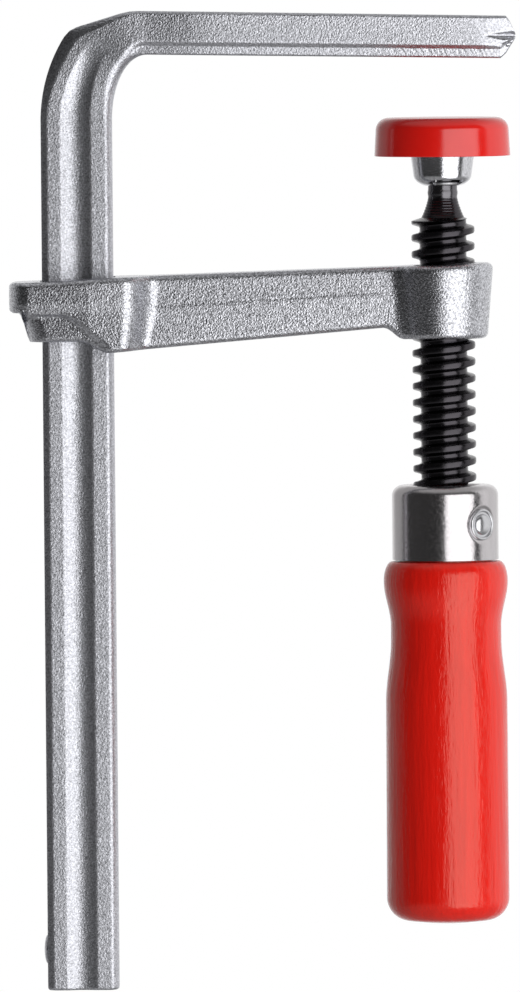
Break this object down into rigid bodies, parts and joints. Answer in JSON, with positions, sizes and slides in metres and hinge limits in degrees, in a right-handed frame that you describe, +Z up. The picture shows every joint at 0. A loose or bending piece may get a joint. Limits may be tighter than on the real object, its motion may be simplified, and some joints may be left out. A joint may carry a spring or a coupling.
{
  "type": "f clamp",
  "caption": "Screw clamp with a grooved flat bar bent into a fixed jaw, a sliding forged arm, and a screw spindle with a swivelling capped pad and a turned wooden handle.",
  "frame": {"origin": "on the fixed jaw's clamping face, where the spindle's axis meets it", "axes": "+Z up the bar towards the fixed jaw, +X from the bar to the spindle, +Y to the back"},
  "size_m": [0.0924, 0.0248, 0.1781],
  "materials": {
    "zinc_steel": "zinc-plated rolled bar with a fine sparkling grain",
    "forged_steel": "zinc-plated drop forging with a fine sparkling grain",
    "black_steel": "black oxide, lightly oiled",
    "spring_wire": "bare spring wire",
    "plate_steel": "zinc-plated, satin",
    "red_plastic": "smooth glossy red plastic",
    "bright_nickel": "polished bright plating, slightly warm",
    "red_wood": "red lacquer over turned hardwood",
    "rivet_steel": "bright rivet head"
  },
  "bodies": {
    "bar": {"rail": "zinc_steel", "stop_stud": "zinc_steel"},
    "arm": {"sliding_arm": "forged_steel"},
    "swivel_ring": {"retaining_ring": "spring_wire"},
    "screw": {"spindle": "black_steel", "ferrule": "bright_nickel", "handle": "red_wood", "handle_rivet": "rivet_steel"},
    "pad": {"pressure_plate": "plate_steel", "pad_cap": "red_plastic"}
  },
  "joints": [
    {"name": "arm_slide", "type": "slide", "parent": "bar", "child": "arm", "axis": [0, 0, 1], "range_m": [-0.107, 0]},
    {"name": "spindle_feed", "type": "slide", "parent": "arm", "child": "swivel_ring", "axis": [0, 0, 1], "range_m": [-0.012, 0.009]},
    {"name": "spindle_turn", "type": "hinge", "parent": "swivel_ring", "child": "screw", "pos_m": [0, 0, -0.0197], "axis": [0, 0, 1], "range_deg": [-1512, 1152]},
    {"name": "pad_tilt", "type": "hinge", "parent": "swivel_ring", "child": "pad", "pos_m": [0, 0, -0.0197], "axis": [0, 1, 0], "range_deg": [-8, 8]}
  ],
  "couplings": [
    {"joint": "spindle_turn", "follows": "spindle_feed", "rad_per_m": 2094.4}
  ]
}
